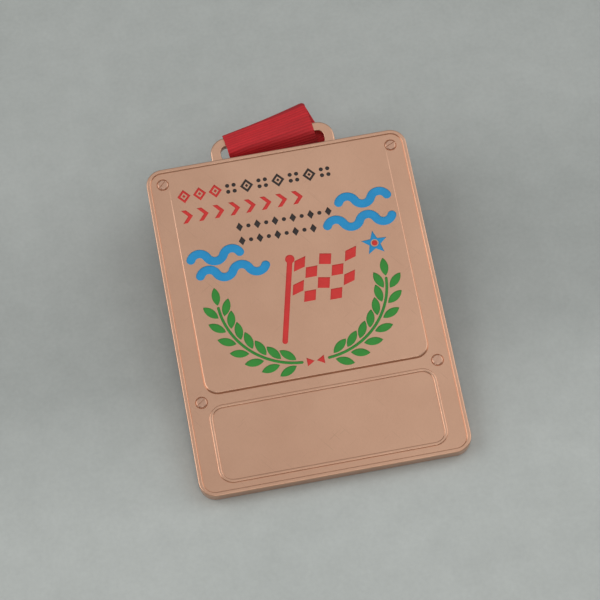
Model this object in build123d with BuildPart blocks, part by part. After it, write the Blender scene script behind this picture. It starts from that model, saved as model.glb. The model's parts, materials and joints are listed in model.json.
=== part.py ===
from build123d import *
import math
import os

# A sports finisher medal that leans on its own folded neck ribbon.
# Two die-cast plates are screwed together at their corners. The front plate carries
# enamel cells on a wedge-shaped emblem panel, and a blank name panel inside a bead.
# The back plate carries the loop that the ribbon is folded over.
# Row frame: millimetres, +Z up, Z = 0 is the surface that the medal lies on,
# +Y runs from the medal's lower edge to its loop, +X is to the right of the face.

# ---------------------------------------------------------------- driving dimensions
PLATE_WIDTH = 65.0
PLATE_HEIGHT = 84.0
PLATE_CORNER = 4.0
BACK_THICKNESS = 1.8
FACE_THICKNESS = 1.3
RIM_WIDTH = 1.1
RIM_HEIGHT = 0.35
RIM_DRAFT = 28.0
RIM_ROUNDING = 0.2
FACE_ROUNDING = 0.3
MEDAL_TILT = 10.0

LOOP_WIDTH = 31.0
LOOP_CORNER = 4.0
LOOP_OVERLAP = 1.0
SLOT_WIDTH = 26.0
SLOT_HEIGHT = 3.95
SLOT_CORNER = 1.6
BAR_WIDTH = 2.3
BAR_ROUNDING = 0.2
BACK_ROUNDING = 0.3
LOOP_ROUNDING = 0.4

PANEL_HALF_WIDTH = 27.2
PANEL_TOP = 38.0
PANEL_BOTTOM = -17.5
PANEL_CORNER = 3.4
PANEL_RISE = 0.6
PANEL_DRAFT = 28.0
PANEL_ROUNDING = 0.25

BEAD_WIDTH = 0.85
BEAD_HEIGHT = 0.35
BEAD_ROUNDING = 0.3
NAME_HALF_WIDTH = 27.4
NAME_TOP = -20.15
NAME_BOTTOM = -39.45
NAME_CORNER = 3.5

POCKET_DEPTH = 0.45
ENAMEL_RECESS = 0.15

SCREW_X = 28.5
SCREW_Y_TOP = 38.0
SCREW_Y_LOW = -18.8
SCREW_HEAD_RADIUS = 1.3
SCREW_SHANK_RADIUS = 0.8
SCREW_HOLE_RADIUS = 0.83
SCREW_SHANK_LENGTH = 2.1
SCREW_HEAD_HEIGHT = 0.4
SCREW_DOME = 0.3
SCREW_TIP_GAP = 0.1
SCREW_SLOT_WIDTH = 0.42
SCREW_SLOT_DEPTH = 0.26
COUNTERBORE_RADIUS = 1.36
COUNTERBORE_DEPTH = 0.14
COUNTERBORE_DRAFT = 48.0
SCREW_SLOT_ANGLES = {"top_left": 42, "top_right": 24, "low_left": 35, "low_right": 50}

RIBBON_WIDTH = 22.0
RIBBON_THICKNESS = 0.5
FOLD_MIDDLE = (-1.15, 51.85)
FOLD_SLANT = 14.2
FRONT_SLANT = 7.8
BACK_SLANT = 19.5
STRIP_REACH = 14.0
BACK_STRIP_REACH = 9.0
LAYER_GAP = 0.1
DIVE_TOP = 45.6
DIVE_FOOT = (43.8, -0.3)
DIVE_THICKNESS = 0.66
SIDE_REACH = 20.0
HANK_HEIGHT = 9.3
HANK_CENTRE_X = 1.5
HANK_WIDTH = 22.6
HANK_TO_HINGE = 10.0
HANK_INSET = 6.0
HANK_CLEARANCE = 0.36

# ---------------------------------------------------------------- worked-out dimensions
sin_tilt = math.sin(math.radians(MEDAL_TILT))
cos_tilt = math.cos(math.radians(MEDAL_TILT))

half_height = PLATE_HEIGHT / 2
face_level = BACK_THICKNESS + FACE_THICKNESS
rim_level = face_level + RIM_HEIGHT
loop_top = half_height + SLOT_HEIGHT + BAR_WIDTH
bar_centre_y = half_height + SLOT_HEIGHT + BAR_WIDTH / 2

ribbon_back = -LAYER_GAP - RIBBON_THICKNESS
ribbon_front = BACK_THICKNESS + LAYER_GAP + RIBBON_THICKNESS
fold_top = FOLD_MIDDLE[1] + RIBBON_WIDTH / 2 * math.sin(math.radians(FOLD_SLANT))

# The row frame's origin is under the middle of the whole length, ribbon fold included.
low_end = -half_height * cos_tilt - rim_level * sin_tilt
high_end = fold_top * cos_tilt - ribbon_back * sin_tilt
medal_origin = (0, -(low_end + high_end) / 2, half_height * sin_tilt)
edge_y = medal_origin[1] - half_height * cos_tilt

# The medal plane lies in the medal's back, with its origin at the plate's centre.
medal_plane = Plane(origin=medal_origin, x_dir=(1, 0, 0), z_dir=(0, -sin_tilt, cos_tilt))

# The emblem panel's surface meets the face at PANEL_TOP and rises towards PANEL_BOTTOM.
panel_slope = math.degrees(math.atan(PANEL_RISE / (PANEL_TOP - PANEL_BOTTOM)))
panel_mid_level = face_level + PANEL_RISE * PANEL_TOP / (PANEL_TOP - PANEL_BOTTOM)
panel_plane = medal_plane.offset(panel_mid_level).rotated((-panel_slope, 0, 0))

# Profiles seen from the side: X of this plane is the medal's Y, and its Y is the height.
side_plane = Plane(origin=medal_origin, x_dir=medal_plane.y_dir, z_dir=(1, 0, 0))

screw_places = {
    "top_left": (-SCREW_X, SCREW_Y_TOP),
    "top_right": (SCREW_X, SCREW_Y_TOP),
    "low_left": (-SCREW_X, SCREW_Y_LOW),
    "low_right": (SCREW_X, SCREW_Y_LOW),
}
screw_tip = face_level - COUNTERBORE_DEPTH - SCREW_SHANK_LENGTH

os.makedirs("parts", exist_ok=True)


def save(part, label):
    """Labels a finished piece and writes its STEP file."""
    part.label = label
    export_step(part, f"parts/{label}.step")


# ---------------------------------------------------------------- enamel outlines
# Each of these draws its outline in the sketch that is open, in the emblem panel's X and Y.
# The rows are friezes of lozenges, dots and chevrons. The emblem is waves, a chequered flag,
# a star and two laurel branches.

FRIEZE_PITCH = 3.9
FRIEZE_LEFT = -23.9
FRIEZE_ONE_Y = 34.0
FRIEZE_TWO_Y = 28.6
FRIEZE_THREE_Y = 23.5
FRIEZE_FOUR_Y = 19.8
FINE_PITCH = 2.2
FINE_LEFT = -11.9
LOZENGE = (3.3, 3.6)
LOZENGE_HOLE = (1.75, 1.95)
LOZENGE_CORE = (0.85, 0.95)
FINE_LOZENGE = (1.7, 2.4)
DOT_RADIUS = 0.52
DOT_PITCH = 1.6
CHEVRON_HALF = (1.35, 1.75)
CHEVRON_STROKE = (1.15, 1.5)

WAVE_HALF = 4.0
WAVE_HEIGHT = 1.3
WAVE_STROKE = 2.2
WAVES_LEFT = ((-25.0, 17.1), (-23.4, 12.6))
WAVES_RIGHT = ((13.0, 25.2), (9.2, 19.7))
SHORT_WAVE = 3
LONG_WAVE = 4

STAR_PLACE = (19.6, 13.2)
STAR_OUTER = 3.3
STAR_INNER = 1.45
STAR_POINTS = 5
STAR_HOLE_RADIUS = 0.95
STAR_CENTRE_RADIUS = 0.7

POLE_TOP = Vector(-1.4, 12.9)
POLE_FOOT = Vector(-6.3, -7.6)
POLE_STROKE = 1.35
FINIAL_RADIUS = 1.15
FLAG_CORNER = Vector(-0.5, 12.3)
FLAG_ALONG = Vector(3.15, 0.25)
FLAG_DOWN = Vector(-0.72, -3.0)
FLAG_COLUMNS = 5
FLAG_ROWS = 4
FLAG_WAVE = 0.7
CELL_MARGIN = 0.05

LAUREL_CENTRE = (2.0, 5.0)
LAUREL_RADIUS = 18.6
LAUREL_START = 266
LAUREL_END = 184
LAUREL_PAIRS = 7
STEM_STROKE = 0.7
LEAF_LENGTH = 4.7
LEAF_WIDTH = 2.0
LEAF_SPREAD = 32
LEAF_GAP = 0.75
FIRST_LEAF = 0.35
TIP_LEAF_TURN = 2
TIE_PLACE = (0, -13.7)
TIE_HALF = (2.1, 1.1)
TIE_GAP = 0.25


def lozenge_points(width, height):
    """Corners of a lozenge about its centre."""
    return [(width / 2, 0), (0, height / 2), (-width / 2, 0), (0, -height / 2)]


def row_of(left, y, pitch, first, count, step=1):
    """Places of every step-th motif of a frieze, starting from its motif number first."""
    return [(left + pitch * i, y) for i in range(first, first + count, step)]


def framed_lozenges(places):
    """Outlined lozenges with a small solid one inside each."""
    with Locations(*places):
        Polygon(*lozenge_points(*LOZENGE))
        Polygon(*lozenge_points(*LOZENGE_HOLE), mode=Mode.SUBTRACT)
        Polygon(*lozenge_points(*LOZENGE_CORE))


def four_dots(places):
    """Four dots in a square."""
    with Locations(*places):
        with GridLocations(DOT_PITCH, DOT_PITCH, 2, 2):
            Circle(DOT_RADIUS)


def frieze_one_red():
    framed_lozenges(row_of(FRIEZE_LEFT, FRIEZE_ONE_Y, FRIEZE_PITCH, 0, 3))


def frieze_one_dark():
    framed_lozenges(row_of(FRIEZE_LEFT, FRIEZE_ONE_Y, FRIEZE_PITCH, 4, 6, 2))
    four_dots(row_of(FRIEZE_LEFT, FRIEZE_ONE_Y, FRIEZE_PITCH, 3, 7, 2))


def frieze_two_red():
    """Chevrons that point to the right."""
    half_width, half_rise = CHEVRON_HALF
    stroke, notch = CHEVRON_STROKE
    chevron = [
        (-half_width, half_rise),
        (stroke - half_width, half_rise),
        (half_width, 0),
        (stroke - half_width, -half_rise),
        (-half_width, -half_rise),
        (notch - half_width, 0),
    ]
    with Locations(*row_of(FRIEZE_LEFT, FRIEZE_TWO_Y, FRIEZE_PITCH, 0, 8)):
        Polygon(*chevron)


def fine_frieze(y, count):
    """Small lozenges and dots in turn."""
    with Locations(*row_of(FINE_LEFT, y, FINE_PITCH, 0, count, 2)):
        Polygon(*lozenge_points(*FINE_LOZENGE))
    with Locations(*row_of(FINE_LEFT, y, FINE_PITCH, 1, count - 1, 2)):
        Circle(DOT_RADIUS)


def frieze_three_dark():
    fine_frieze(FRIEZE_THREE_Y, 11)


def frieze_four_dark():
    fine_frieze(FRIEZE_FOUR_Y, 9)


def wave(start, halves):
    """A sinuous stroke of alternating arcs, with round ends."""
    left, y = start
    with BuildLine(mode=Mode.PRIVATE) as crest:
        for i in range(halves):
            x = left + i * WAVE_HALF
            swing = WAVE_HEIGHT if i % 2 == 0 else -WAVE_HEIGHT
            ThreePointArc((x, y), (x + WAVE_HALF / 2, y + swing), (x + WAVE_HALF, y))
    SlotArc(crest.wire(), WAVE_STROKE)


def wave_left_upper():
    wave(WAVES_LEFT[0], SHORT_WAVE)


def wave_left_lower():
    wave(WAVES_LEFT[1], LONG_WAVE)


def wave_right_upper():
    wave(WAVES_RIGHT[0], SHORT_WAVE)


def wave_right_lower():
    wave(WAVES_RIGHT[1], LONG_WAVE)


def star():
    """A five-pointed star with a round hole for its centre."""
    points = []
    for i in range(2 * STAR_POINTS):
        radius = STAR_OUTER if i % 2 == 0 else STAR_INNER
        angle = math.radians(90 + 180 / STAR_POINTS * i)
        points.append((radius * math.cos(angle), radius * math.sin(angle)))
    with Locations(STAR_PLACE):
        Polygon(*points)
        Circle(STAR_HOLE_RADIUS, mode=Mode.SUBTRACT)


def star_centre():
    with Locations(STAR_PLACE):
        Circle(STAR_CENTRE_RADIUS)


def flag_point(column, row):
    """A point of the flag's waving grid."""
    ripple = Vector(0, FLAG_WAVE * math.sin(2 * math.pi * column / FLAG_COLUMNS))
    return FLAG_CORNER + FLAG_ALONG * column + FLAG_DOWN * row + ripple


def flag_cells():
    """Every second cell of the chequered flag."""
    near, far = CELL_MARGIN, 1 - CELL_MARGIN
    for column in range(FLAG_COLUMNS):
        for row in range(FLAG_ROWS):
            if (column + row) % 2 == 0:
                Polygon(
                    flag_point(column + near, row + near),
                    flag_point(column + near, row + far),
                    flag_point(column + far, row + far),
                    flag_point(column + far, row + near),
                )


def flag_pole():
    """The pole and the ball on its top."""
    SlotArc(Edge.make_line(POLE_FOOT, POLE_TOP), POLE_STROKE)
    with Locations(POLE_TOP):
        Circle(FINIAL_RADIUS)


def laurel_point(side, angle, radius):
    """A point about the centre of one branch's arc. Side is -1 on the left and 1 on the right."""
    x = -LAUREL_CENTRE[0] + radius * math.cos(math.radians(angle))
    y = LAUREL_CENTRE[1] + radius * math.sin(math.radians(angle))
    return Vector(-side * x, y)


def laurel_stem(side):
    start = laurel_point(side, LAUREL_START, LAUREL_RADIUS)
    middle = laurel_point(side, (LAUREL_START + LAUREL_END) / 2, LAUREL_RADIUS)
    end = laurel_point(side, LAUREL_END, LAUREL_RADIUS)
    SlotArc(Edge.make_three_point_arc(start, middle, end), STEM_STROKE)


def leaf(base, direction):
    """A pointed leaf between two arcs."""
    tip = base + direction * LEAF_LENGTH
    middle = base + direction * (LEAF_LENGTH / 2)
    bulge = direction.rotate(Axis.Z, 90) * (LEAF_WIDTH / 2)
    with BuildLine(mode=Mode.PRIVATE) as outline:
        ThreePointArc(base, middle + bulge, tip)
        ThreePointArc(tip, middle - bulge, base)
    make_face(outline.edges())


def laurel_leaves(side):
    """Pairs of leaves along the stem, and one at its tip."""
    step = (LAUREL_START - LAUREL_END) / LAUREL_PAIRS
    for i in range(LAUREL_PAIRS):
        angle = LAUREL_START - step * (i + FIRST_LEAF)
        along = laurel_point(side, angle - 1, LAUREL_RADIUS) - laurel_point(side, angle, LAUREL_RADIUS)
        for turn in (-1, 1):
            base = laurel_point(side, angle, LAUREL_RADIUS - side * turn * LEAF_GAP)
            leaf(base, along.normalized().rotate(Axis.Z, turn * LEAF_SPREAD))
    end = laurel_point(side, LAUREL_END - TIP_LEAF_TURN, LAUREL_RADIUS)
    onward = laurel_point(side, LAUREL_END - TIP_LEAF_TURN - 1, LAUREL_RADIUS) - end
    leaf(end, onward.normalized())


def laurel_left_stem():
    laurel_stem(-1)


def laurel_left_leaves():
    laurel_leaves(-1)


def laurel_right_stem():
    laurel_stem(1)


def laurel_right_leaves():
    laurel_leaves(1)


def laurel_tie():
    """A bow of two triangles where the branches meet."""
    with Locations(TIE_PLACE):
        Polygon((-TIE_GAP, 0), (-TIE_HALF[0], TIE_HALF[1]), (-TIE_HALF[0], -TIE_HALF[1]))
        Polygon((TIE_GAP, 0), (TIE_HALF[0], -TIE_HALF[1]), (TIE_HALF[0], TIE_HALF[1]))


ENAMEL_CELLS = [
    frieze_one_red,
    frieze_one_dark,
    frieze_two_red,
    frieze_three_dark,
    frieze_four_dark,
    wave_left_upper,
    wave_left_lower,
    wave_right_upper,
    wave_right_lower,
    star,
    star_centre,
    flag_cells,
    flag_pole,
    laurel_left_stem,
    laurel_left_leaves,
    laurel_right_stem,
    laurel_right_leaves,
    laurel_tie,
]

# ---------------------------------------------------------------- back plate and loop
with BuildPart() as back_plate:
    with BuildSketch(medal_plane):
        RectangleRounded(PLATE_WIDTH, PLATE_HEIGHT, PLATE_CORNER)
    extrude(amount=BACK_THICKNESS)
    with BuildSketch(medal_plane):
        loop_foot = half_height - LOOP_CORNER - LOOP_OVERLAP
        with Locations((0, (loop_top + loop_foot) / 2)):
            RectangleRounded(LOOP_WIDTH, loop_top - loop_foot, LOOP_CORNER)
    extrude(amount=BACK_THICKNESS)
    with BuildSketch(medal_plane):
        with Locations((0, half_height + SLOT_HEIGHT / 2)):
            RectangleRounded(SLOT_WIDTH, SLOT_HEIGHT, SLOT_CORNER)
    extrude(amount=BACK_THICKNESS, mode=Mode.SUBTRACT)
    for place in screw_places.values():
        with BuildSketch(medal_plane.offset(BACK_THICKNESS)):
            with Locations(place):
                Circle(SCREW_HOLE_RADIUS)
        extrude(amount=screw_tip - SCREW_TIP_GAP - BACK_THICKNESS, mode=Mode.SUBTRACT)
    back_rim = back_plate.faces().sort_by(Axis(medal_origin, medal_plane.z_dir))[0].outer_wire().edges()
    fillet(back_rim, radius=BACK_ROUNDING)
    slot_rims = [
        edge
        for face in back_plate.faces().filter_by(Axis(medal_origin, medal_plane.z_dir))
        for wire in face.inner_wires()
        if wire.length > SLOT_WIDTH
        for edge in wire.edges()
    ]
    fillet(slot_rims, radius=BAR_ROUNDING)
    loop_front = (
        back_plate.faces()
        .filter_by(Axis(medal_origin, medal_plane.z_dir))
        .sort_by(Axis(medal_origin, medal_plane.z_dir))[-1]
        .outer_wire()
        .edges()
        .filter_by(lambda edge: medal_plane.to_local_coords(edge.center()).Y > half_height + LOOP_OVERLAP)
    )
    fillet(loop_front, radius=LOOP_ROUNDING)
save(back_plate.part, "back_plate")

# ---------------------------------------------------------------- front plate
with BuildPart() as emblem_panel:
    with BuildSketch(medal_plane.offset(face_level - PANEL_RISE)):
        flare = PANEL_RISE * math.tan(math.radians(PANEL_DRAFT))
        panel_low = PANEL_BOTTOM - flare
        panel_end = PANEL_TOP + RIM_WIDTH
        with Locations((0, (panel_end + panel_low) / 2)):
            Rectangle(2 * (PANEL_HALF_WIDTH + flare), panel_end - panel_low)
        low_corners = vertices().group_by(Axis.Y)[0]
        fillet(low_corners, radius=PANEL_CORNER + flare)
    extrude(amount=2.5 * PANEL_RISE, taper=PANEL_DRAFT)
    split(bisect_by=panel_plane, keep=Keep.BOTTOM)
    panel_face = emblem_panel.faces().sort_by(Axis(panel_plane.origin, panel_plane.z_dir))[-1]
    crest = panel_face.edges().filter_by(
        lambda edge: medal_plane.to_local_coords(edge.center()).Y < PANEL_TOP - PANEL_CORNER
    )
    fillet(crest, radius=PANEL_ROUNDING)

with BuildPart() as front_plate:
    with BuildSketch(medal_plane.offset(BACK_THICKNESS)):
        RectangleRounded(PLATE_WIDTH, PLATE_HEIGHT, PLATE_CORNER)
    extrude(amount=FACE_THICKNESS + RIM_HEIGHT)
    outer_edges = front_plate.faces().sort_by(Axis(medal_origin, medal_plane.z_dir))[-1].edges()
    fillet(outer_edges, radius=FACE_ROUNDING)
    with BuildSketch(medal_plane.offset(face_level)):
        RectangleRounded(
            PLATE_WIDTH - 2 * RIM_WIDTH, PLATE_HEIGHT - 2 * RIM_WIDTH, PLATE_CORNER - RIM_WIDTH
        )
    extrude(amount=RIM_HEIGHT, taper=-RIM_DRAFT, mode=Mode.SUBTRACT)
    rim_face = front_plate.faces().sort_by(Axis(medal_origin, medal_plane.z_dir))[-1]
    fillet(rim_face.inner_wires()[0].edges(), radius=RIM_ROUNDING)
    add(emblem_panel.part)
    with BuildSketch(medal_plane.offset(face_level)):
        with Locations((0, (NAME_TOP + NAME_BOTTOM) / 2)):
            RectangleRounded(2 * NAME_HALF_WIDTH, NAME_TOP - NAME_BOTTOM, NAME_CORNER)
            RectangleRounded(
                2 * (NAME_HALF_WIDTH - BEAD_WIDTH),
                NAME_TOP - NAME_BOTTOM - 2 * BEAD_WIDTH,
                NAME_CORNER - BEAD_WIDTH,
                mode=Mode.SUBTRACT,
            )
    extrude(amount=BEAD_HEIGHT)
    bead_face = front_plate.faces(Select.LAST).sort_by(Axis(medal_origin, medal_plane.z_dir))[-1]
    fillet(bead_face.edges(), radius=BEAD_ROUNDING)
    for place in screw_places.values():
        with BuildSketch(medal_plane.offset(face_level - COUNTERBORE_DEPTH)):
            with Locations(place):
                Circle(COUNTERBORE_RADIUS)
        extrude(amount=COUNTERBORE_DEPTH, taper=-COUNTERBORE_DRAFT, mode=Mode.SUBTRACT)
        with BuildSketch(medal_plane.offset(BACK_THICKNESS)):
            with Locations(place):
                Circle(SCREW_HOLE_RADIUS)
        extrude(amount=FACE_THICKNESS, mode=Mode.SUBTRACT)
    for draw in ENAMEL_CELLS:
        with BuildSketch(panel_plane.offset(-POCKET_DEPTH)):
            draw()
        extrude(amount=2 * POCKET_DEPTH, mode=Mode.SUBTRACT)
save(front_plate.part, "front_plate")

# ---------------------------------------------------------------- enamel fills
for draw in ENAMEL_CELLS:
    with BuildPart() as enamel:
        with BuildSketch(panel_plane.offset(-POCKET_DEPTH)):
            draw()
        extrude(amount=POCKET_DEPTH - ENAMEL_RECESS)
    save(enamel.part, f"enamel_{draw.__name__}")

# ---------------------------------------------------------------- corner screws
for corner, place in screw_places.items():
    screw_plane = Plane(medal_plane.location * Location((place[0], place[1], 0)))
    head_base = face_level - COUNTERBORE_DEPTH
    with BuildPart() as screw:
        with BuildSketch(screw_plane.offset(screw_tip)):
            Circle(SCREW_SHANK_RADIUS)
        extrude(amount=SCREW_SHANK_LENGTH)
        with BuildSketch(screw_plane.offset(head_base)):
            Circle(SCREW_HEAD_RADIUS)
        extrude(amount=SCREW_HEAD_HEIGHT)
        crown = screw.faces().sort_by(Axis(screw_plane.origin, screw_plane.z_dir))[-1]
        fillet(crown.edges(), radius=SCREW_DOME)
        with BuildSketch(screw_plane.offset(head_base + SCREW_HEAD_HEIGHT)):
            Rectangle(4 * SCREW_HEAD_RADIUS, SCREW_SLOT_WIDTH, rotation=SCREW_SLOT_ANGLES[corner])
        extrude(amount=-SCREW_SLOT_DEPTH, mode=Mode.SUBTRACT)
    save(screw.part, f"screw_{corner}")

# ---------------------------------------------------------------- neck ribbon
# The stretch round the loop's bar: it comes up through the slot and lies on the front of the
# bar. Above the bar it turns over along a slanted edge, and it goes down again behind the bar.
def strip_outline(slant, length):
    """Draws a flat stretch of ribbon in the medal's plane, down from its folded edge."""
    half_edge = RIBBON_WIDTH / 2 / math.cos(math.radians(FOLD_SLANT - slant))
    edge = Vector(half_edge, 0).rotate(Axis.Z, FOLD_SLANT)
    run = Vector(0, -length).rotate(Axis.Z, slant)
    middle = Vector(*FOLD_MIDDLE)
    Polygon(middle - edge, middle + edge, middle + edge + run, middle - edge + run)


with BuildPart() as ribbon_fold:
    with BuildSketch(side_plane.offset(-SIDE_REACH)):
        Polygon(
            DIVE_FOOT,
            (DIVE_FOOT[0], DIVE_FOOT[1] - DIVE_THICKNESS),
            (DIVE_TOP, ribbon_front - DIVE_THICKNESS),
            (DIVE_TOP, ribbon_front - RIBBON_THICKNESS),
            (fold_top, ribbon_front - RIBBON_THICKNESS),
            (fold_top, ribbon_front),
            (DIVE_TOP, ribbon_front),
        )
    extrude(amount=2 * SIDE_REACH)
    with BuildSketch(medal_plane.offset(-half_height)):
        strip_outline(FRONT_SLANT, STRIP_REACH)
    extrude(amount=PLATE_HEIGHT, mode=Mode.INTERSECT)
    with BuildSketch(medal_plane.offset(ribbon_back)):
        strip_outline(BACK_SLANT, BACK_STRIP_REACH)
    extrude(amount=RIBBON_THICKNESS)
    with BuildSketch(medal_plane.offset(ribbon_back)):
        strip_outline(FOLD_SLANT, RIBBON_THICKNESS)
    extrude(amount=ribbon_front - ribbon_back)
save(ribbon_fold.part, "ribbon_fold")

# The rest of the ribbon's length, folded to and fro into a hank that tapers under the medal.
hinge_y = medal_origin[1] + bar_centre_y * cos_tilt - BACK_THICKNESS / 2 * sin_tilt
hinge_z = medal_origin[2] + bar_centre_y * sin_tilt + BACK_THICKNESS / 2 * cos_tilt
tan_tilt = math.tan(math.radians(MEDAL_TILT))
hank_low_y = edge_y + HANK_INSET
hank_high_y = hinge_y - HANK_TO_HINGE
hank_shoulder_y = edge_y + (HANK_HEIGHT + HANK_CLEARANCE) / tan_tilt

with BuildPart() as ribbon_hank:
    with BuildSketch(Plane.YZ.offset(HANK_CENTRE_X - HANK_WIDTH / 2)):
        Polygon(
            (hank_low_y, 0),
            (hank_high_y, 0),
            (hank_high_y, HANK_HEIGHT),
            (hank_shoulder_y, HANK_HEIGHT),
            (hank_low_y, HANK_INSET * tan_tilt - HANK_CLEARANCE),
        )
    extrude(amount=HANK_WIDTH)
save(ribbon_hank.part, "ribbon_hank")
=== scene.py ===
import json
import math
import random

import bmesh
import bpy
from mathutils import Matrix, Vector


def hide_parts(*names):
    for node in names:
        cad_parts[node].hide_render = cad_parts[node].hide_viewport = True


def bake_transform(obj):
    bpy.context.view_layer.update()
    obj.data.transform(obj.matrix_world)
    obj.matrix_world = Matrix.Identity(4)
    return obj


# A sports finisher medal that leans on its own folded neck ribbon.
# Lengths in the ribbon's part are millimetres, and MM turns them into metres.

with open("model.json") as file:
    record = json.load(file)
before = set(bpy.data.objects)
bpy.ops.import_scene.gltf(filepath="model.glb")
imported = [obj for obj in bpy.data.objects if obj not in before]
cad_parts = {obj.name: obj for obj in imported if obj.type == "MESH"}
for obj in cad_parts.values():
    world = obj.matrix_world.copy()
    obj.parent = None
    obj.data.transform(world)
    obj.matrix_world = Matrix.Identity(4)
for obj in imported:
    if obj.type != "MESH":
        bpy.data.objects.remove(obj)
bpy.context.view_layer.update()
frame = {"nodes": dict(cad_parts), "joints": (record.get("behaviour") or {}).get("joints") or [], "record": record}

MM = 0.001
scene = bpy.context.scene
scene.view_settings.view_transform = "Standard"

# ---------------------------------------------------------------- the medal's own frame
# Y runs up the face from the plate's centre and Z comes out of the face, from its back.
TILT = math.radians(10.0)
BAR_Y = 47.1
BAR_Z = 0.9

along = Vector((0, math.cos(TILT), math.sin(TILT)))
outward = Vector((0, -math.sin(TILT), math.cos(TILT)))
hinge = Vector(frame["joints"][0]["pos_m"]) / MM
plate_centre = hinge - along * BAR_Y - outward * BAR_Z


def medal_point(x, y, z):
    """A point of the medal's frame, in millimetres of the row frame."""
    return plate_centre + Vector((x, 0, 0)) + along * y + outward * z


# ---------------------------------------------------------------- camera
CAMERA_AIM = medal_point(-0.9, 2.1, 3.45) * MM
CAMERA_DISTANCE = 0.505
CAMERA_AZIMUTH = math.radians(5.9)
CAMERA_ELEVATION = math.radians(60.44)
CAMERA_ROLL = math.radians(5.05)


def add_camera():
    """The camera stands left of the medal's lower edge and looks down on it, rolled a little."""
    towards = Vector(
        (
            -math.sin(CAMERA_AZIMUTH) * math.cos(CAMERA_ELEVATION),
            -math.cos(CAMERA_AZIMUTH) * math.cos(CAMERA_ELEVATION),
            math.sin(CAMERA_ELEVATION),
        )
    )
    level = Vector((0, 0, 1)).cross(towards).normalized()
    above = towards.cross(level)
    right = level * math.cos(CAMERA_ROLL) - above * math.sin(CAMERA_ROLL)
    up = towards.cross(right)
    data = bpy.data.cameras.new("camera")
    data.sensor_width = 36
    data.lens = 126
    data.clip_start = 0.01
    camera = bpy.data.objects.new("camera", data)
    camera.matrix_world = Matrix.Translation(CAMERA_AIM + towards * CAMERA_DISTANCE) @ Matrix(
        (right, up, towards)
    ).transposed().to_4x4()
    scene.collection.objects.link(camera)
    scene.camera = camera


add_camera()


# ---------------------------------------------------------------- node helpers
def new_material(name):
    """A material with one Principled shader. Returns the material, its tree and the shader."""
    material = bpy.data.materials.new(name)
    material.use_nodes = True
    tree = material.node_tree
    shader = next(n for n in tree.nodes if n.type == "BSDF_PRINCIPLED")
    return material, tree, shader


def add(tree, kind, **values):
    """A node with its inputs or properties set by name."""
    node = tree.nodes.new(kind)
    for name, value in values.items():
        socket = node.inputs.get(name.replace("_", " "))
        if socket is not None:
            socket.default_value = value
        else:
            setattr(node, name, value)
    return node


def place(tree, scale=(1, 1, 1)):
    """The place on the piece, stretched by scale along each axis."""
    where = add(tree, "ShaderNodeTexCoord")
    mapping = add(tree, "ShaderNodeMapping", Scale=scale)
    tree.links.new(where.outputs["Object"], mapping.inputs["Vector"])
    return mapping.outputs["Vector"]


def strokes(tree, turn, length):
    """The place on the piece for long thin marks, turned about Z by turn degrees."""
    where = add(tree, "ShaderNodeTexCoord")
    mapping = add(tree, "ShaderNodeMapping", vector_type="TEXTURE")
    mapping.inputs["Rotation"].default_value = (0, 0, math.radians(turn))
    mapping.inputs["Scale"].default_value = (1, length, length)
    tree.links.new(where.outputs["Object"], mapping.inputs["Vector"])
    return mapping.outputs["Vector"]


def noise(tree, vector, scale, detail=2.0, roughness=0.5):
    """A noise between 0 and 1."""
    node = add(tree, "ShaderNodeTexNoise", Scale=scale, Detail=detail, Roughness=roughness)
    tree.links.new(vector, node.inputs["Vector"])
    return node.outputs["Fac"]


def spread(tree, value, low, high, to_low, to_high):
    """Maps value from low..high to to_low..to_high and stays inside them."""
    node = add(tree, "ShaderNodeMapRange")
    node.inputs["From Min"].default_value = low
    node.inputs["From Max"].default_value = high
    node.inputs["To Min"].default_value = to_low
    node.inputs["To Max"].default_value = to_high
    tree.links.new(value, node.inputs["Value"])
    return node.outputs["Result"]


def shade(tree, value, *stops):
    """A colour ramp. Each stop is its position and its colour."""
    node = add(tree, "ShaderNodeValToRGB")
    elements = node.color_ramp.elements
    while len(elements) < len(stops):
        elements.new(0.5)
    for element, (position, colour) in zip(elements, stops):
        element.position = position
        element.color = (*colour, 1)
    tree.links.new(value, node.inputs["Fac"])
    return node.outputs["Color"]


def blend_colours(tree, kind, amount, first, second):
    """Mixes two colours. Each of amount, first and second is a socket or a plain value."""
    node = add(tree, "ShaderNodeMix", data_type="RGBA", blend_type=kind)
    for index, value in ((0, amount), (6, first), (7, second)):
        if isinstance(value, bpy.types.NodeSocket):
            tree.links.new(value, node.inputs[index])
        else:
            node.inputs[index].default_value = value
    return node.outputs[2]


def relief(tree, height, distance, strength, onto=None):
    """A bump of the given depth in metres, on top of another one if given."""
    node = add(tree, "ShaderNodeBump", Distance=distance, Strength=strength)
    tree.links.new(height, node.inputs["Height"])
    if onto is not None:
        tree.links.new(onto, node.inputs["Normal"])
    return node.outputs["Normal"]


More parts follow.
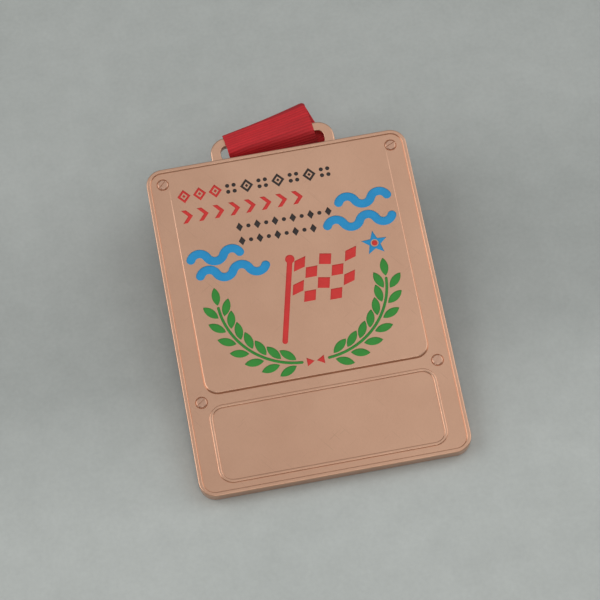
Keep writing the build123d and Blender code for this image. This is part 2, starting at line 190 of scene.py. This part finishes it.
# ---------------------------------------------------------------- metal
def metal(name, light, dark, rough_low, rough_high):
    """Satin copper plating: fine brushing, faint clouds of tarnish, hair scratches, tiny pits."""
    material, tree, shader = new_material(name)
    brushed = noise(tree, place(tree, (1, 0.02, 1)), 9000, 3)
    clouds = noise(tree, place(tree), 55, 4, 0.6)
    grain = noise(tree, place(tree), 5200, 2)
    tint = shade(tree, clouds, (0.3, dark), (0.7, light))
    streaks = shade(tree, brushed, (0.2, (0.93, 0.93, 0.93)), (0.8, (1, 1, 1)))
    colour = blend_colours(tree, "MULTIPLY", 1.0, tint, streaks)
    hairs = noise(tree, strokes(tree, 38, 50), 5200, 1)
    more_hairs = noise(tree, strokes(tree, -57, 40), 5200, 1)
    scratches = add(tree, "ShaderNodeMath", operation="MAXIMUM")
    tree.links.new(spread(tree, hairs, 0.73, 0.77, 0, 1), scratches.inputs[0])
    tree.links.new(spread(tree, more_hairs, 0.74, 0.78, 0, 1), scratches.inputs[1])
    colour = blend_colours(tree, "MULTIPLY", scratches.outputs[0], colour, (0.88, 0.88, 0.88, 1))
    tree.links.new(colour, shader.inputs["Base Color"])
    roughness = spread(tree, clouds, 0.3, 0.7, rough_high, rough_low)
    tree.links.new(roughness, shader.inputs["Roughness"])
    bumps = relief(tree, brushed, 0.00002, 0.25)
    bumps = relief(tree, scratches.outputs[0], -0.00001, 0.3, bumps)
    bumps = relief(tree, grain, 0.00002, 0.2, bumps)
    tree.links.new(bumps, shader.inputs["Normal"])
    shader.inputs["Metallic"].default_value = 1.0
    shader.inputs["Coat Weight"].default_value = 0.3
    shader.inputs["Coat Roughness"].default_value = 0.2
    return material


def enamel(name, light, dark):
    """Soft enamel: poured colour, faintly clouded, with a slight orange peel."""
    material, tree, shader = new_material(name)
    clouds = noise(tree, place(tree), 420, 3)
    peel = noise(tree, place(tree), 1900, 1)
    colour = shade(tree, clouds, (0.3, dark), (0.7, light))
    tree.links.new(colour, shader.inputs["Base Color"])
    tree.links.new(spread(tree, clouds, 0.3, 0.7, 0.42, 0.3), shader.inputs["Roughness"])
    tree.links.new(relief(tree, peel, 0.00005, 0.3), shader.inputs["Normal"])
    shader.inputs["Specular IOR Level"].default_value = 0.5
    return material


materials = {
    "rose_metal": metal("rose_metal", (0.76, 0.452, 0.306), (0.71, 0.414, 0.278), 0.3, 0.36),
    "screw_metal": metal("screw_metal", (0.74, 0.45, 0.32), (0.62, 0.36, 0.25), 0.25, 0.34),
    "enamel_red": enamel("enamel_red", (0.76, 0.03, 0.024), (0.68, 0.025, 0.02)),
    "enamel_blue": enamel("enamel_blue", (0.008, 0.33, 0.7), (0.006, 0.29, 0.62)),
    "enamel_green": enamel("enamel_green", (0.03, 0.31, 0.03), (0.024, 0.27, 0.026)),
    "enamel_dark": enamel("enamel_dark", (0.03, 0.02, 0.017), (0.02, 0.012, 0.01)),
}

for part in frame["record"]["subparts"]:
    node = frame["nodes"][part["node"]]
    if part["material_slot"] in materials:
        node.data.materials.clear()
        node.data.materials.append(materials[part["material_slot"]])

# ---------------------------------------------------------------- neck ribbon
# One strip, folded over the loop's bar. In this part q is the distance along a strand from
# its fold, u the distance across the strip, and v the flat distance along it from the fold.
RIBBON_WIDTH = 22.0
HALF_WIDTH = RIBBON_WIDTH / 2
RIBBON_HALF = 0.21
SELVEDGE_WIDTH = 0.12
SELVEDGE_THINNING = 0.1

# The fold: its line, its narrowing gap round the bar, its dip and its rounded right tip.
FOLD_SLANT = math.radians(14.2)
FOLD_OUT = Vector((-math.sin(FOLD_SLANT), math.cos(FOLD_SLANT)))
FOLD_AT = Vector((-1.15, 51.85)) - 0.25 * FOLD_OUT
BAR_TOP = 48.25
BAR_HALF_GAP = 1.25
FOLD_HALF_GAP = 0.5
NARROW_FROM = 0.8
NARROW_OVER = 4.5
FOLD_DIP = 0.25
FOLD_DIP_LENGTH = 9.0
TIP_ROUNDING = 0.9
TIP_DROP = 0.45
CAP_STEPS = 14

# The strands: their slants at the fold, and how they bulge, straighten, settle and wander.
FRONT_SLANT = math.radians(7.8)
BACK_SLANT = math.radians(21.0)
LEG_START = 62.0
ROW_TURN = 12.0
FRONT_BULGE = 0.5
BULGE_RISE = 3.0
BULGE_TOP = 3.6
BULGE_FALL = 4.6
STRAIGHTEN_FROM = 11.0
STRAIGHTEN_OVER = 10.0
SPARE_FROM = 16.0
SPARE_OVER = 22.0
HOMING = 0.02
HOMING_OVER = 5.0
WANDER = 0.05
WANDER_PERIOD = 71.0
WANDER_FROM = 30.0
WANDER_OVER = 20.0
MIDDLE_STEP = 0.25

# The hank under the medal, folded to and fro in layers that end short of the back plate.
LAYERS = 18
PITCH = 0.5
LOWEST = 0.27
HANK_MIDDLE = 1.5
NEAR_END = 29.94
PLATE_EDGE = plate_centre.y - 42 * math.cos(TILT)
CLEARANCE = 0.55

# The ribs modelled near the fold, and the spacing of the mesh's rows.
RIB_PITCH = 0.7
RIB_HEIGHT = 0.028
RIB_END = 0.4
RIBBED_LENGTH = 17.0
RIBBED_FADE = 3.0
ROWS_PER_RIB = 8
LONGEST_ROW = 2.0
SHORTEST_ROW = 0.12


def smooth(t):
    """Runs from 0 to 1 with level ends."""
    t = min(max(t, 0.0), 1.0)
    return t * t * (3 - 2 * t)


def side(y, z):
    """A point of the medal's side view, as the row frame's Y and Z."""
    point = medal_point(0, y, z)
    return Vector((point.y, point.z))


def rounded(corners):
    """A path through corners, each a point and the radius of its rounding."""
    path = [corners[0][0].copy()]
    for (before, _), (corner, radius), (after, _) in zip(corners, corners[1:], corners[2:]):
        to_back = (before - corner).normalized()
        to_front = (after - corner).normalized()
        opening = to_back.angle(to_front)
        inset = radius / math.tan(opening / 2)
        centre = corner + (to_back + to_front).normalized() * radius / math.sin(opening / 2)
        start = corner + to_back * inset - centre
        turn = math.pi - opening
        if to_back.cross(to_front) > 0:
            turn = -turn
        steps = max(3, math.ceil(abs(turn) / math.radians(18)))
        for i in range(steps + 1):
            c, s = math.cos(turn * i / steps), math.sin(turn * i / steps)
            path.append(centre + Vector((c * start.x - s * start.y, s * start.x + c * start.y)))
    path.append(corners[-1][0].copy())
    return path


def slot_height(slot):
    """The height of a slot's middle, slots counted from the top of the hank."""
    return LOWEST + PITCH * (LAYERS - 1 - slot)


def hank_corners(slots, jitter):
    """The corners of one strand's runs to and fro through its slots."""
    corners = []
    for run, (slot, following) in enumerate(zip(slots, slots[1:])):
        inside = following - slot == 1
        if run % 2 == 0:
            limit = slot_height(slot - 1 if inside else slot)
            y = PLATE_EDGE + (limit + CLEARANCE) / math.tan(TILT) + jitter[run] + inside * PITCH
        else:
            y = NEAR_END - jitter[run] - inside * PITCH
        top, bottom = slot_height(slot), slot_height(following)
        radius = (top - bottom) / 2 * 0.999
        corners += [(Vector((y, top)), radius), (Vector((y, bottom)), radius)]
    return corners


dice = random.Random(5)
fold_jitter = [dice.uniform(0, 1.0) for _ in range(LAYERS)]

top_layer = slot_height(0)


def front_path(crease, foot):
    """The front strand's path, which creases and turns under the medal at the given heights."""
    return rounded(
        [
            (side(LEG_START, BAR_Z + BAR_HALF_GAP), 0),
            (side(crease, BAR_Z + BAR_HALF_GAP), 1.0),
            (side(foot, -0.75), 1.0),
            (Vector((18.0, top_layer)), 18.0),
            *hank_corners([0, 3, 4, 7, 8, 11, 12, 15, 16, 17], fold_jitter),
            (Vector((0.0, LOWEST)), 0),
        ]
    )


front_leg = front_path(45.6, 43.9)
front_leg_left = front_path(44.2, 42.7)
back_leg = rounded(
    [
        (side(LEG_START, BAR_Z - BAR_HALF_GAP), 0),
        (side(45.6, BAR_Z - BAR_HALF_GAP), 1.2),
        (Vector((36.4, 11.8)), 2.0),
        (Vector((17.4, top_layer - PITCH)), 18.0),
        *hank_corners([1, 2, 5, 6, 9, 10, 13, 14, 17], fold_jitter),
        (Vector((0.0, LOWEST)), 0),
    ]
)


def lengths(path):
    """The distance along the path of each of its points."""
    at = [0.0]
    for a, b in zip(path, path[1:]):
        at.append(at[-1] + (b - a).length)
    return at


def along_path(path, at, s):
    """The point and the direction at s along a path."""
    low, high = 0, len(at) - 1
    s = min(max(s, 0.0), at[-1])
    while high - low > 1:
        mid = (low + high) // 2
        if at[mid] <= s:
            low = mid
        else:
            high = mid
    f = (s - at[low]) / max(at[high] - at[low], 1e-9)

    def direction(i):
        return (path[min(i + 1, len(path) - 1)] - path[max(i - 1, 0)]).normalized()

    return path[low].lerp(path[high], f), direction(low).lerp(direction(high), f).normalized()


def fold_dip(u):
    """How far the fold's line sinks at u across, in its middle and round its right tip."""
    tip = smooth((u - HALF_WIDTH) / TIP_ROUNDING + 1) ** 2
    return FOLD_DIP * (1 - (u / HALF_WIDTH) ** 2) + TIP_DROP * tip


def fold_gap(u):
    """Half the gap inside the fold at u across, and how far the fold stands above the bar."""
    level = Vector((math.cos(FOLD_SLANT), math.sin(FOLD_SLANT)))
    edge = FOLD_AT + u * level - FOLD_OUT * fold_dip(u)
    reach = (edge.y - BAR_TOP) / math.cos(FOLD_SLANT)
    narrowing = smooth((reach - NARROW_FROM) / NARROW_OVER)
    gap = BAR_HALF_GAP + (FOLD_HALF_GAP - BAR_HALF_GAP) * narrowing
    return gap, max(reach - gap, 0.0)


class Leg:
    """One strand of the ribbon from its fold over the bar to the middle of the lowest layer."""

    def __init__(self, path, turn, first_slant, left_path=None, bulge=0.0):
        self.path = path
        self.turn = turn
        self.bulge = bulge
        self.at = lengths(path)
        self.left_path = left_path or path
        self.left_at = lengths(self.left_path)
        self.centre, self.slant = [], []
        x, t = FOLD_AT
        for i in range(int(self.at[-1] / MIDDLE_STEP) + 8):
            q = i * MIDDLE_STEP
            slant = first_slant * (1 - smooth((q - STRAIGHTEN_FROM) / STRAIGHTEN_OVER))
            homing = HOMING * smooth((q - STRAIGHTEN_FROM - STRAIGHTEN_OVER) / HOMING_OVER)
            self.centre.append((x, t))
            self.slant.append(slant)
            swing = math.sin(2 * math.pi * q / WANDER_PERIOD + turn)
            wander = WANDER * swing * smooth((q - WANDER_FROM) / WANDER_OVER)
            x += (math.sin(slant) + wander) * MIDDLE_STEP + (HANK_MIDDLE - x) * homing
            t -= math.cos(slant) * MIDDLE_STEP

    def middle(self, q):
        """The centre line, the slant of the strip and the slant of its row, at q from the fold."""
        i = min(max(q / MIDDLE_STEP, 0), len(self.centre) - 2)
        j = int(i)
        f = i - j
        x = self.centre[j][0] * (1 - f) + self.centre[j + 1][0] * f
        t = self.centre[j][1] * (1 - f) + self.centre[j + 1][1] * f
        slant = self.slant[j] * (1 - f) + self.slant[j + 1] * f
        row = FOLD_SLANT + (slant - FOLD_SLANT) * smooth(q / ROW_TURN)
        return x, t, slant, row

    def across(self, q, u):
        """The flat place at q from the fold and u across."""
        x, t, slant, row = self.middle(q)
        dip = fold_dip(u) * (1 - smooth(q / FOLD_DIP_LENGTH))
        u /= math.cos(row - slant)
        return Vector((x + u * math.cos(row), t + u * math.sin(row))) - FOLD_OUT * dip

    def on_path(self, s, x):
        """The point and the outward normal at s along the path, as the row frame's Y and Z."""
        point, tangent = along_path(self.path, self.at, s)
        if self.left_path is not self.path:
            spare = (self.left_at[-1] - self.at[-1]) * smooth((s - SPARE_FROM) / SPARE_OVER)
            left_point, left_tangent = along_path(self.left_path, self.left_at, s + spare)
            leftness = min(max((HALF_WIDTH - x) / RIBBON_WIDTH, 0.0), 1.0)
            point = point.lerp(left_point, leftness)
            tangent = tangent.lerp(left_tangent, leftness).normalized()
        return point, Vector((tangent.y, -tangent.x)) * self.turn

    def point(self, q, u):
        """The point and the normal of the strip at q from the start of its fold, u across."""
        gap, reach = fold_gap(u)
        x, t = self.across(q + gap, u)
        place_2d, normal_2d = self.on_path(LEG_START - t, x)
        pinch = (gap - BAR_HALF_GAP) * (1 - smooth(q / max(reach, 0.01)))
        fallen = smooth((q - BULGE_TOP) / BULGE_FALL)
        pinch += self.bulge * smooth(q / BULGE_RISE) * (1 - fallen)
        normal = Vector((0, *normal_2d))
        return Vector((x, *place_2d)) + normal * pinch, normal


def ribbon_rows(legs, across):
    """Every row of the strip as points and normals with its flat distance from the fold."""
    halves = []
    for leg in legs:
        rows = []
        q = 0.0
        while q < RIBBED_LENGTH:
            rows.append(q)
            q += RIB_PITCH / ROWS_PER_RIB
        straight = RIBBED_LENGTH + STRAIGHTEN_OVER * 2
        shift = LEG_START - leg.middle(straight)[1] - straight
        last = rows[-1]
        for a, b in zip(leg.at, leg.at[1:]):
            steps = max(1, math.ceil((b - a) / LONGEST_ROW))
            for i in range(steps):
                place_q = b - (b - a) * (steps - 1 - i) / steps - shift
                if place_q > last + SHORTEST_ROW:
                    rows.append(place_q)
                    last = place_q
        halves.append(rows)
    made = []
    for q in reversed(halves[0]):
        made.append([(*legs[0].point(q, u), -q - fold_gap(u)[0] * math.pi / 2) for u in across])
    for i in range(1, CAP_STEPS):
        angle = math.pi * i / CAP_STEPS
        row = []
        for u in across:
            gap = fold_gap(u)[0]
            root = legs[0].across(gap, u).lerp(legs[1].across(gap, u), i / CAP_STEPS)
            x, t = root + FOLD_OUT * gap * math.sin(angle)
            point = medal_point(x, t, BAR_Z + gap * math.cos(angle))
            normal = (
                (Vector((FOLD_OUT.x, 0, 0)) + along * FOLD_OUT.y) * math.sin(angle)
                + outward * math.cos(angle)
            )
            row.append((point, normal, (angle - math.pi / 2) * gap))
        made.append(row)
    for q in halves[1]:
        made.append([(*legs[1].point(q, u), q + fold_gap(u)[0] * math.pi / 2) for u in across])
    return made


def half_thickness(u, v, ribbed):
    """Half the strip's thickness at u across and v along, ribs and selvedge included."""
    from_edge = HALF_WIDTH - abs(u)
    flat = RIBBON_HALF - SELVEDGE_THINNING * (1 - smooth(from_edge / SELVEDGE_WIDTH))
    ribs = RIB_HEIGHT * math.cos(2 * math.pi * v / RIB_PITCH) * ribbed
    return flat + ribs * smooth(from_edge / RIB_END)


def make_ribbon():
    """The whole ribbon as one closed strip, with its flat places as its UV map."""
    right = [HALF_WIDTH - inset for inset in (0, 0.06, 0.2, 0.5, 1.2, 3, 6, 9)]
    across = [-u for u in right] + [0.0] + right[::-1]
    front = Leg(front_leg, 1, FRONT_SLANT, front_leg_left, FRONT_BULGE)
    rows = ribbon_rows([front, Leg(back_leg, -1, BACK_SLANT)], across)
    mesh = bmesh.new()
    uv_layer = mesh.loops.layers.uv.new("along")
    loops = []
    for row in rows:
        outer, inner = [], []
        for u, (point, normal, v) in zip(across, row):
            ribbed = 1 - smooth((abs(v) - RIBBED_LENGTH + RIBBED_FADE) / RIBBED_FADE)
            thick = half_thickness(u, v, ribbed)
            outer.append((mesh.verts.new((point + normal * thick) * MM), u, v))
            inner.append((mesh.verts.new((point - normal * thick) * MM), u, v))
        loops.append(outer + inner[::-1])
    length = rows[-1][0][2] - rows[0][0][2]
    for index, loop in enumerate(loops):
        following = loops[(index + 1) % len(loops)]
        wrap = length if index == len(loops) - 1 else 0.0
        count = len(loop)
        for i in range(count):
            j = (i + 1) % count
            corners = [loop[i], loop[j], following[j], following[i]]
            face = mesh.faces.new([c[0] for c in corners])
            face.smooth = True
            for k, (face_loop, (_, u, v)) in enumerate(zip(face.loops, corners)):
                extra = wrap if k > 1 else 0.0
                face_loop[uv_layer].uv = (u * MM, (v + extra) * MM)
    mesh.normal_update()
    data = bpy.data.meshes.new("neck_ribbon")
    mesh.to_mesh(data)
    mesh.free()
    ribbon = bpy.data.objects.new("neck_ribbon", data)
    scene.collection.objects.link(ribbon)
    return ribbon


def grosgrain():
    """Ribbed red grosgrain with a soft sheen, with painted shade in the rib grooves, along the fold's edge and
    below the front crease.
    """
    material, tree, shader = new_material("ribbon_red")
    uv = add(tree, "ShaderNodeUVMap", uv_map="along")
    parts = add(tree, "ShaderNodeSeparateXYZ")
    tree.links.new(uv.outputs["UV"], parts.inputs["Vector"])

    def wave(socket, pitch):
        turn = add(tree, "ShaderNodeMath", operation="MULTIPLY")
        turn.inputs[1].default_value = 2 * math.pi / pitch
        tree.links.new(socket, turn.inputs[0])
        node = add(tree, "ShaderNodeMath", operation="COSINE")
        tree.links.new(turn.outputs[0], node.inputs[0])
        return spread(tree, node.outputs[0], -1, 1, 0, 1)

    ribs = wave(parts.outputs["Y"], RIB_PITCH * MM)
    warp = wave(parts.outputs["X"], 0.28 * MM)
    lengthwise = add(tree, "ShaderNodeMapping", Scale=(0.04, 1, 1))
    tree.links.new(uv.outputs["UV"], lengthwise.inputs["Vector"])
    uneven = noise(tree, lengthwise.outputs["Vector"], 1100, 2)
    clouds = noise(tree, place(tree), 300, 4, 0.6)
    fuzz = noise(tree, place(tree), 6000, 2)
    # Painted shade: the red is darker in the grooves between the ribs.
    red_with_groove_shade = shade(tree, ribs, (0.0, (0.63, 0.01, 0.018)), (0.75, (0.76, 0.016, 0.026)))
    warp_tint = shade(tree, warp, (0.0, (0.84, 0.84, 0.84)), (1.0, (1, 1, 1)))
    cloud_tint = shade(tree, clouds, (0.3, (0.9, 0.9, 0.9)), (0.7, (1, 1, 1)))
    # Painted shade below the front crease, where the front strand dives into the slot behind the plate's edge;
    # deeper towards the right.
    slope = add(tree, "ShaderNodeMath", operation="MULTIPLY_ADD")
    slope.inputs[1].default_value = 0.1
    tree.links.new(parts.outputs["X"], slope.inputs[0])
    tree.links.new(parts.outputs["Y"], slope.inputs[2])
    past_crease = spread(tree, slope.outputs[0], -6.2 * MM, -10.0 * MM, 0, 1)
    to_right = spread(tree, parts.outputs["X"], -HALF_WIDTH * MM, HALF_WIDTH * MM, 0.06, 0.64)
    painted_crease_shade = add(tree, "ShaderNodeMath", operation="MULTIPLY")
    tree.links.new(past_crease, painted_crease_shade.inputs[0])
    tree.links.new(to_right, painted_crease_shade.inputs[1])
    uneven_tint = shade(tree, uneven, (0.35, (0.84, 0.84, 0.84)), (0.65, (1, 1, 1)))
    # Painted shade: a dark purplish line along the fold's edge, where the strip turns over.
    from_fold = add(tree, "ShaderNodeMath", operation="ABSOLUTE")
    tree.links.new(parts.outputs["Y"], from_fold.inputs[0])
    painted_fold_shade = spread(tree, from_fold.outputs[0], 0.75 * MM, 1.25 * MM, 0.65, 0)
    colour = blend_colours(tree, "MULTIPLY", 1.0, red_with_groove_shade, warp_tint)
    colour = blend_colours(tree, "MULTIPLY", 1.0, colour, uneven_tint)
    colour = blend_colours(tree, "MULTIPLY", 1.0, colour, cloud_tint)
    colour = blend_colours(tree, "MULTIPLY", painted_crease_shade.outputs[0], colour, (0.2, 0.2, 0.2, 1))
    colour = blend_colours(tree, "MULTIPLY", painted_fold_shade, colour, (0.3, 0.3, 0.4, 1))
    tree.links.new(colour, shader.inputs["Base Color"])
    bumps = relief(tree, ribs, 0.00006, 0.5)
    bumps = relief(tree, warp, 0.00004, 0.5, bumps)
    bumps = relief(tree, fuzz, 0.00003, 0.4, bumps)
    tree.links.new(bumps, shader.inputs["Normal"])
    tree.links.new(spread(tree, fuzz, 0.3, 0.7, 0.62, 0.78), shader.inputs["Roughness"])
    shader.inputs["Sheen Weight"].default_value = 0.08
    shader.inputs["Sheen Roughness"].default_value = 0.4
    shader.inputs["Sheen Tint"].default_value = (1, 0.35, 0.35, 1)
    return material


ribbon = make_ribbon()
ribbon.data.materials.append(grosgrain())
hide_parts("ribbon_fold", "ribbon_hank")
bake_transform(ribbon)

# ---------------------------------------------------------------- floor and light
FLOOR_HALF = 0.9


def make_floor():
    """A plain pale floor, mottled like paper, with painted light and shade along Y: lightest at the front, darkest
    in a band across the middle beside the medal.
    """
    mesh = bpy.data.meshes.new("floor")
    h = FLOOR_HALF
    mesh.from_pydata([(-h, -h, 0), (h, -h, 0), (h, h, 0), (-h, h, 0)], [], [(0, 1, 2, 3)])
    floor = bpy.data.objects.new("floor", mesh)
    scene.collection.objects.link(floor)
    material, tree, shader = new_material("floor")
    clouds = noise(tree, place(tree), 14, 5, 0.55)
    mottle = noise(tree, place(tree), 130, 4, 0.6)
    fibre = noise(tree, place(tree), 900, 3, 0.6)
    colour = shade(tree, clouds, (0.3, (0.556, 0.588, 0.563)), (0.7, (0.604, 0.634, 0.609)))
    mottle_tint = shade(tree, mottle, (0.3, (0.93, 0.93, 0.93)), (0.7, (1, 1, 1)))
    fibre_tint = shade(tree, fibre, (0.3, (0.94, 0.94, 0.94)), (0.7, (1, 1, 1)))
    where = add(tree, "ShaderNodeSeparateXYZ")
    tree.links.new(place(tree), where.inputs["Vector"])
    # Painted light and shade on the floor: lighter towards the front, darkest in a band across the middle beside
    # the medal, a little lighter again behind.
    away = spread(tree, where.outputs["Y"], -0.05, 0.05, 0, 1)
    painted_light_bands = ((0.0, 1.0), (0.27, 0.89), (0.37, 0.8), (0.6, 0.78), (1.0, 0.85))
    painted_floor_light = shade(tree, away, *((at, (grey, grey, grey)) for at, grey in painted_light_bands))
    colour = blend_colours(tree, "MULTIPLY", 1.0, colour, mottle_tint)
    colour = blend_colours(tree, "MULTIPLY", 1.0, colour, fibre_tint)
    colour = blend_colours(tree, "MULTIPLY", 1.0, colour, painted_floor_light)
    tree.links.new(colour, shader.inputs["Base Color"])
    grain = noise(tree, place(tree), 1500, 2)
    tree.links.new(relief(tree, grain, 0.0001, 0.2), shader.inputs["Normal"])
    shader.inputs["Roughness"].default_value = 0.9
    shader.inputs["Specular IOR Level"].default_value = 0.2
    mesh.materials.append(material)


def area_light(name, position, aim, size, power):
    """A softbox that points at aim, with its size in metres and its power in watts."""
    data = bpy.data.lights.new(name, "AREA")
    data.shape = "RECTANGLE"
    data.size, data.size_y = size
    data.energy = power
    light = bpy.data.objects.new(name, data)
    light.location = position
    light.rotation_euler = (Vector(aim) - Vector(position)).to_track_quat("-Z", "Y").to_euler()
    scene.collection.objects.link(light)


make_floor()
area_light("left_softbox", (-0.75, 0.12, 0.5), (0, 0, 0), (0.85, 0.95), 3.7)
area_light("right_softbox", (0.75, 0.12, 0.5), (0, 0, 0), (0.85, 0.95), 2.56)
area_light("front_softbox", (0.0, -0.75, 1.1), (0, -0.1, 0), (0.6, 0.6), 1.7)
area_light("ceiling_light", (0.3, 0.25, 1.3), (0, 0, 0), (1, 1), 1.4)

world = bpy.data.worlds.new("studio")
world.use_nodes = True
background = world.node_tree.nodes["Background"]
background.inputs["Color"].default_value = (1, 1, 1, 1)
background.inputs["Strength"].default_value = 0.3
scene.world = world
